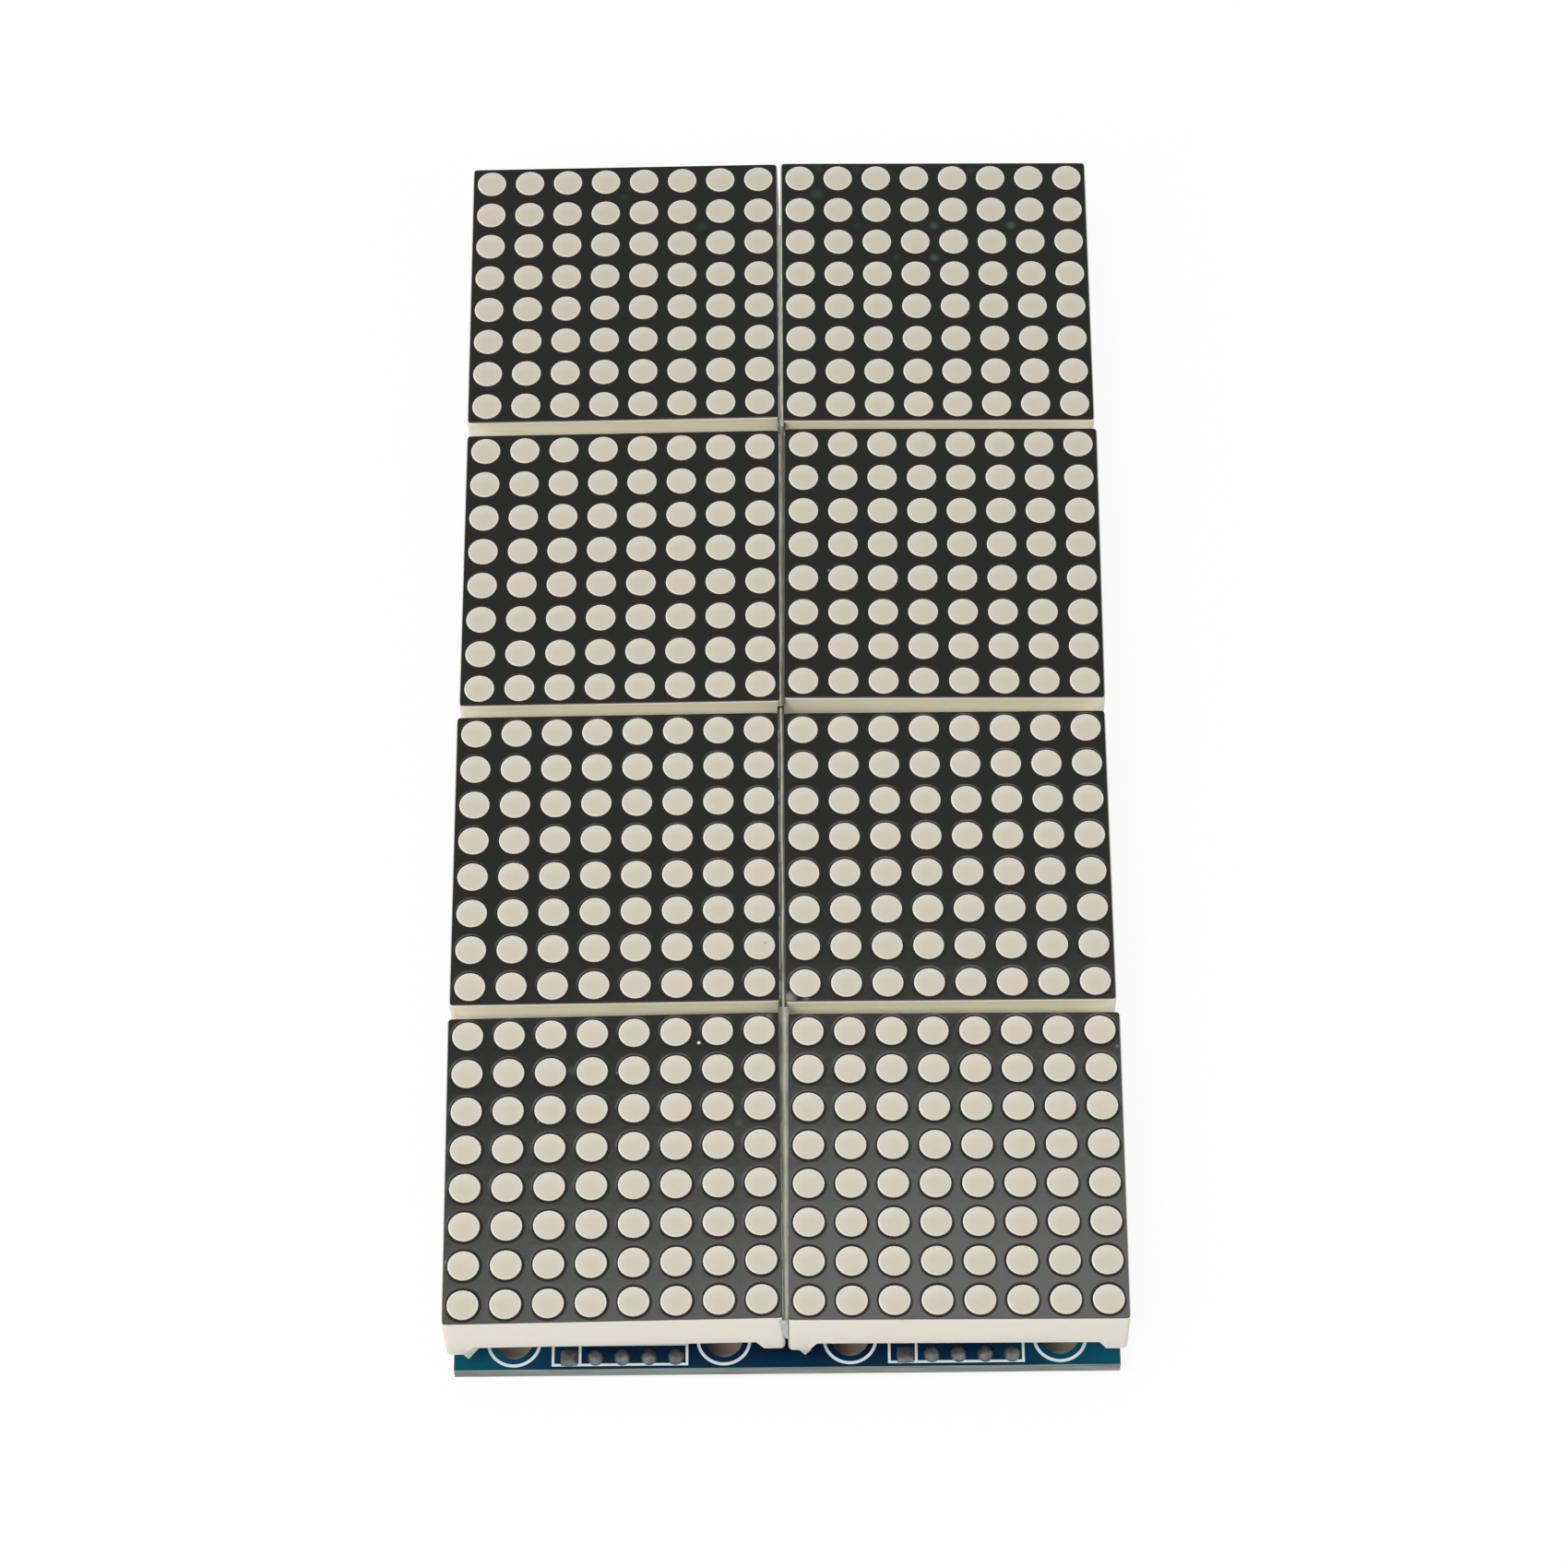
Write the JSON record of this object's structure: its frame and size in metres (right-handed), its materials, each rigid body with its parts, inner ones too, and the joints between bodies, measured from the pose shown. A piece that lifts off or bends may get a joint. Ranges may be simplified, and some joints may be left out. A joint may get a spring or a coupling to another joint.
{
  "type": "led dot matrix display board",
  "caption": "Two columns of square LED dot matrix modules, black faces with round pale dots, plugged into one blue circuit board with mounting holes.",
  "frame": {"origin": "centre of the mounting hole pattern, on the back face of the circuit board", "axes": "+Z out of the lit faces, +X across the columns, +Y along the rows towards the end with the pin headers"},
  "size_m": [0.0648, 0.1409, 0.0158],
  "materials": {
    "ivory_case": "satin moulded ivory plastic",
    "black_face": "glossy black film, slightly wavy round the dots",
    "dot_resin": "satin diffusing resin",
    "chip_board": "resin over a pale board",
    "tinned_pin": "tinned, satin",
    "socket_plastic": "satin black",
    "blue_board": "glossy blue solder mask with white print",
    "solder": "reflowed solder, satin",
    "chip_epoxy": "matt moulded epoxy",
    "ceramic": "matt tan ceramic with tinned ends",
    "tank_capacitor": "satin moulded amber body",
    "resistor": "matt black with tinned ends",
    "header_plastic": "satin black",
    "header_pin": "gold flash"
  },
  "bodies": {
    "root": {"reflector_case_left_1": "ivory_case", "face_film_left_1": "black_face", "dot_lenses_left_1": "dot_resin", "chip_board_left_1": "chip_board", "module_pins_left_1": "tinned_pin", "socket_strips_left_1": "socket_plastic", "reflector_case_left_2": "ivory_case", "face_film_left_2": "black_face", "dot_lenses_left_2": "dot_resin", "chip_board_left_2": "chip_board", "module_pins_left_2": "tinned_pin", "socket_strips_left_2": "socket_plastic", "reflector_case_left_3": "ivory_case", "face_film_left_3": "black_face", "dot_lenses_left_3": "dot_resin", "chip_board_left_3": "chip_board", "module_pins_left_3": "tinned_pin", "socket_strips_left_3": "socket_plastic", "reflector_case_left_4": "ivory_case", "face_film_left_4": "black_face", "dot_lenses_left_4": "dot_resin", "chip_board_left_4": "chip_board", "module_pins_left_4": "tinned_pin", "socket_strips_left_4": "socket_plastic", "reflector_case_right_1": "ivory_case", "face_film_right_1": "black_face", "dot_lenses_right_1": "dot_resin", "chip_board_right_1": "chip_board", "module_pins_right_1": "tinned_pin", "socket_strips_right_1": "socket_plastic", "reflector_case_right_2": "ivory_case", "face_film_right_2": "black_face", "dot_lenses_right_2": "dot_resin", "chip_board_right_2": "chip_board", "module_pins_right_2": "tinned_pin", "socket_strips_right_2": "socket_plastic", "reflector_case_right_3": "ivory_case", "face_film_right_3": "black_face", "dot_lenses_right_3": "dot_resin", "chip_board_right_3": "chip_board", "module_pins_right_3": "tinned_pin", "socket_strips_right_3": "socket_plastic", "reflector_case_right_4": "ivory_case", "face_film_right_4": "black_face", "dot_lenses_right_4": "dot_resin", "chip_board_right_4": "chip_board", "module_pins_right_4": "tinned_pin", "socket_strips_right_4": "socket_plastic", "circuit_board": "blue_board", "socket_joints": "solder", "driver_chips": "chip_epoxy", "ceramic_capacitors": "ceramic", "tank_capacitors": "tank_capacitor", "resistors": "resistor", "pad_solder": "solder", "header_bodies": "header_plastic", "header_pins": "header_pin"}
  },
  "joints": []
}
